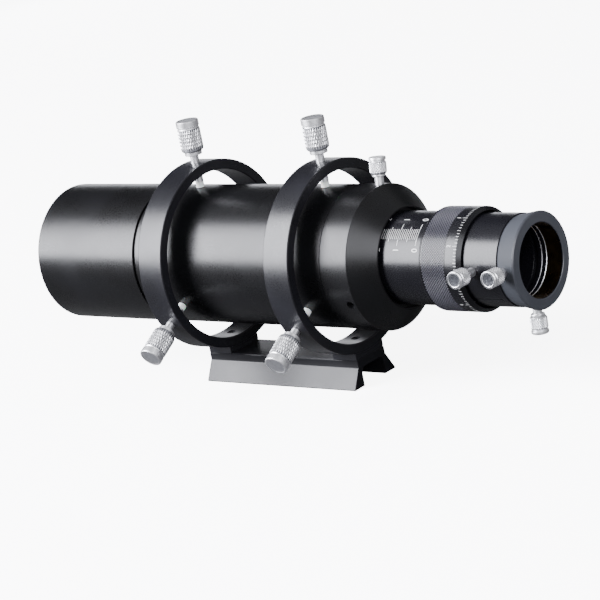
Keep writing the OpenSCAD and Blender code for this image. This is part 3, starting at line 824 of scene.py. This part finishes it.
SCREW_KNURL = 0.21                          # depth of the screws' knurl
END_BAND = 0.22                             # the smooth end band's share of the head
SHANK_R = 2.0
DISH = 0.12                                 # the end face lies this far below its rim


def thumbscrew(name, tip_r, head_r, head_l, flange_r, flange_h, pitch, stretch, end_finish):
    """A lathe-turned screw with a flange, a knurled head, a groove and a smooth end band. It begins at its
    tip. Its direction is its joint's axis, and its end follows from its node's box."""
    node, axis = name + "_screw", AXES[name + "_turn"]
    low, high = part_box(node)
    hub = Vector((0, 0, AXIS_Z * MM))
    corners = [Vector((0, y, z)) - hub for y in (low.y, high.y) for z in (low.z, high.z)]
    # The box's far corner lies beyond the flat end, by the slant of the head's rim
    beyond = 2 * head_r * abs(axis.y) * abs(axis.z)
    end = max(c.dot(axis) for c in corners) / MM - beyond
    base = end - head_l
    band = end - head_l * END_BAND
    knurl_from, knurl_to = base + 0.6, band - 0.6
    barrel_r, groove_r = head_r - SCREW_KNURL, head_r - 0.5
    outline = [(tip_r, 0, 0), (tip_r, SHANK_R - 0.05, 0.2), (base - flange_h, SHANK_R, 0.1),
               (base - flange_h, flange_r, 0.25), (base - 0.05, flange_r, 0.15), (base, flange_r - 0.3, 0.05),
               (base, head_r - 0.75, 0.1), (knurl_from, barrel_r, 0.1), (knurl_to, barrel_r, 0.05),
               (band - 0.3, groove_r, 0.05), (band, groove_r, 0.05), (band + 0.3, head_r, 0.12),
               (end - 0.35, head_r, 0.15), (end, head_r - 0.4, 0.12), (end, head_r - 0.9, 0),
               (end - DISH, head_r - 1.1, 0.1), (end - DISH, 0, 0)]
    place = outward((low.x + high.x) / 2 / MM, math.degrees(math.atan2(-axis.y, axis.z)))
    thing = as_object(spin(rounded(outline, steps=2), 64, closed=False), node + "_base", place)
    barrel_faces = len(thing.data.polygons)
    knurled(thing, node + "_knurled", head_r, start=knurl_from, length=knurl_to - knurl_from, pitch=pitch,
            depth=SCREW_KNURL, finish=SCREW_BRIGHT, place=place, stretch=stretch)
    away = place.to_3x3() @ Vector((1, 0, 0))

    def screw_finish(face):
        """The end face has its own finish, and the barrel under the knurl is painted darker, as painted shade."""
        along = (face.center - place.translation).dot(away) / MM
        if face.normal.dot(away) > 0.9 and along > end - 0.2:
            return 1
        # The barrel between the teeth takes the painted shade
        return 2 if face.index < barrel_faces and knurl_from < along < knurl_to else 0

    finished(thing, [SCREW_BRIGHT, end_finish, GROOVE_PAINTED_SHADE], BODY_OF[node], [node], screw_finish,
             KNURL_CRISP)


RING_SCREW = dict(head_r=5.3, head_l=14.6, flange_r=4.0, flange_h=1.8, pitch=1.15, stretch=2.6,
                  end_finish=SCREW_END)
SMALL_SCREW = dict(head_r=3.8, head_l=7.8, flange_r=3.0, flange_h=0.9, pitch=1.0, stretch=1.2,
                   end_finish=SMALL_END)
# Where each screw meets its tip, from the optical axis
RING_TIPS = {end + "_" + side: tube_r + 2.65 for end in ("front", "rear") for side in ("top", "near", "far")}
SMALL_TIPS = {"drawtube_lock": draw_r + 1.75, "helical_lock": 19.0, "eyepiece_side": 18.55,
              "eyepiece_lower": 18.55}
for tips, kind in ((RING_TIPS, RING_SCREW), (SMALL_TIPS, SMALL_SCREW)):
    for name, tip_r in tips.items():
        thumbscrew(name, tip_r, **kind)


# Finishes of the CAD nodes that stay ---------------------------------------------------------------

STAY = {"ring_bolts": DARK_STEEL, "tension_grub_screws": DARK_STEEL, "grip_grub_screw": DARK_STEEL,
        "grip_retainer": DARK_STEEL, "guide_key": SCREW_END, "crown_lens": CROWN, "flint_lens": FLINT,
        "lens_spacer": FOIL, "lens_retainer": FLAT_BLACK, "front_baffle": FLAT_BLACK,
        "rear_baffle": FLAT_BLACK, "compression_ring": BRASS_PAINTED_SHADE}
STAY.update({name + "_tip": NYLON for name in RING_TIPS})
STAY.update({name + "_tip": BRASS_PAINTED_SHADE for name in SMALL_TIPS})
for node, finish in STAY.items():
    thing = frame["nodes"][node]
    thing.data.materials.clear()
    thing.data.materials.append(finish)


# Floor, light and camera ---------------------------------------------------------------------------

centre = (cad_low + cad_high) / 2
PAPER_GLOW = 7


def floor_paint():
    """Matt white studio paper. Its own glow keeps it an even white round the object, and the object
    itself sees a darker sheet, as under black flags, so that its blacks stay deep."""
    made, tree, shader, place = material("matt_paper_floor", "#f6f6f6", 0.9, Emission_Strength=PAPER_GLOW)
    shader.inputs["Emission Color"].default_value = hex_colour("#fdfdff")
    pulp = add(tree, "ShaderNodeTexNoise", {"Vector": place, "Scale": 1 / 40, "Detail": 2.0})
    tree.links.new(spread(tree, pulp.outputs["Fac"], 0.3, 0.7, 0.88, 0.92), shader.inputs["Roughness"])
    seen = add(tree, "ShaderNodeLightPath").outputs["Is Camera Ray"]
    flagged = add(tree, "ShaderNodeBsdfDiffuse", {"Color": hex_colour("#565656")})
    mixed = add(tree, "ShaderNodeMixShader", {0: seen, 1: flagged.outputs[0], 2: shader.outputs[0]})
    tree.links.new(mixed.outputs[0], tree.nodes["Material Output"].inputs["Surface"])
    return made


# The sweep's sizes are in metres
FLOOR_FRONT, FLOOR_BACK, BEND_R, WALL_TOP, HALF_WIDTH = -3.0, 3.0, 1.5, 6.0, 6.0
BEND_STEPS = 12
FLOOR_TURN = 42                             # degrees, so that the sweep faces the camera


def floor():
    """A pale floor that sweeps up far behind into a wall of the same tone."""
    mesh = bmesh.new()
    bend = [(FLOOR_FRONT, 0.0)]
    for k in range(BEND_STEPS + 1):
        a = math.pi / 2 * k / BEND_STEPS
        bend.append((FLOOR_BACK + BEND_R * math.sin(a), BEND_R - BEND_R * math.cos(a)))
    bend.append((FLOOR_BACK + BEND_R, WALL_TOP))
    rows = [[mesh.verts.new((x, y, z + cad_low.z)) for x in (-HALF_WIDTH, HALF_WIDTH)] for y, z in bend]
    for one, two in zip(rows, rows[1:]):
        mesh.faces.new((one[0], one[1], two[1], two[0]))
    thing = as_object(mesh, "floor_sweep", Matrix.Rotation(math.radians(FLOOR_TURN), 4, "Z"))
    thing.data.materials.append(floor_paint())
    for face in thing.data.polygons:
        face.use_smooth = True


floor()


def direction(azimuth, elevation):
    """A unit vector. The azimuth is from -Y towards +X, and both angles are in degrees."""
    around, up = math.radians(azimuth), math.radians(elevation)
    return Vector((math.sin(around) * math.cos(up), -math.cos(around) * math.cos(up), math.sin(up)))


COOL = (0.93, 0.94, 1.0)                    # slightly blue, so that the blacks shine cool


def softbox(name, azimuth, elevation, distance, width, height, glow):
    """A rectangular soft light that faces the object, with its sizes in metres. The glow is its radiance,
    so that the power follows from its area."""
    data = bpy.data.lights.new(name, "AREA")
    data.shape, data.size, data.size_y = "RECTANGLE", width, height
    data.energy, data.color = math.pi * width * height * glow, COOL
    lamp = bpy.data.objects.new(name, data)
    bpy.context.scene.collection.objects.link(lamp)
    lamp.location = centre + direction(azimuth, elevation) * distance
    lamp.rotation_mode = "QUATERNION"
    lamp.rotation_quaternion = (centre - lamp.location).to_track_quat("-Z", "Y")


softbox("key_softbox", azimuth=-42, elevation=26, distance=2.4, width=1.35, height=1.90, glow=44)
softbox("edge_strip", azimuth=-138, elevation=5, distance=1.5, width=1.3, height=0.26, glow=3.5)
softbox("end_softbox", azimuth=58, elevation=26, distance=1.6, width=0.95, height=0.95, glow=10)

world = bpy.data.worlds.new("pale_studio")
bpy.context.scene.world = world
world.use_nodes = True
sky = world.node_tree.nodes["Background"].inputs
sky["Color"].default_value = hex_colour("#f7f8fa")
sky["Strength"].default_value = 0.65

VIEW_AZIMUTH, VIEW_ELEVATION, VIEW_ROLL = 42.24, 15.63, -11.52      # degrees
VIEW_DISTANCE = 1.0843                      # metres
VIEW_OFFSET = Vector((2.6, -6.1, -22.2)) * MM                       # from the middle of the object
back = direction(VIEW_AZIMUTH, VIEW_ELEVATION)
data = bpy.data.cameras.new("camera")
data.lens, data.sensor_width = 144.26, 36.0
data.clip_start, data.clip_end = 0.01, 50.0
camera = bpy.data.objects.new("camera", data)
bpy.context.scene.collection.objects.link(camera)
camera.location = centre + back * VIEW_DISTANCE + VIEW_OFFSET
camera.rotation_mode = "QUATERNION"
camera.rotation_quaternion = Quaternion(back, math.radians(VIEW_ROLL)) @ (-back).to_track_quat("-Z", "Y")
bpy.context.scene.camera = camera
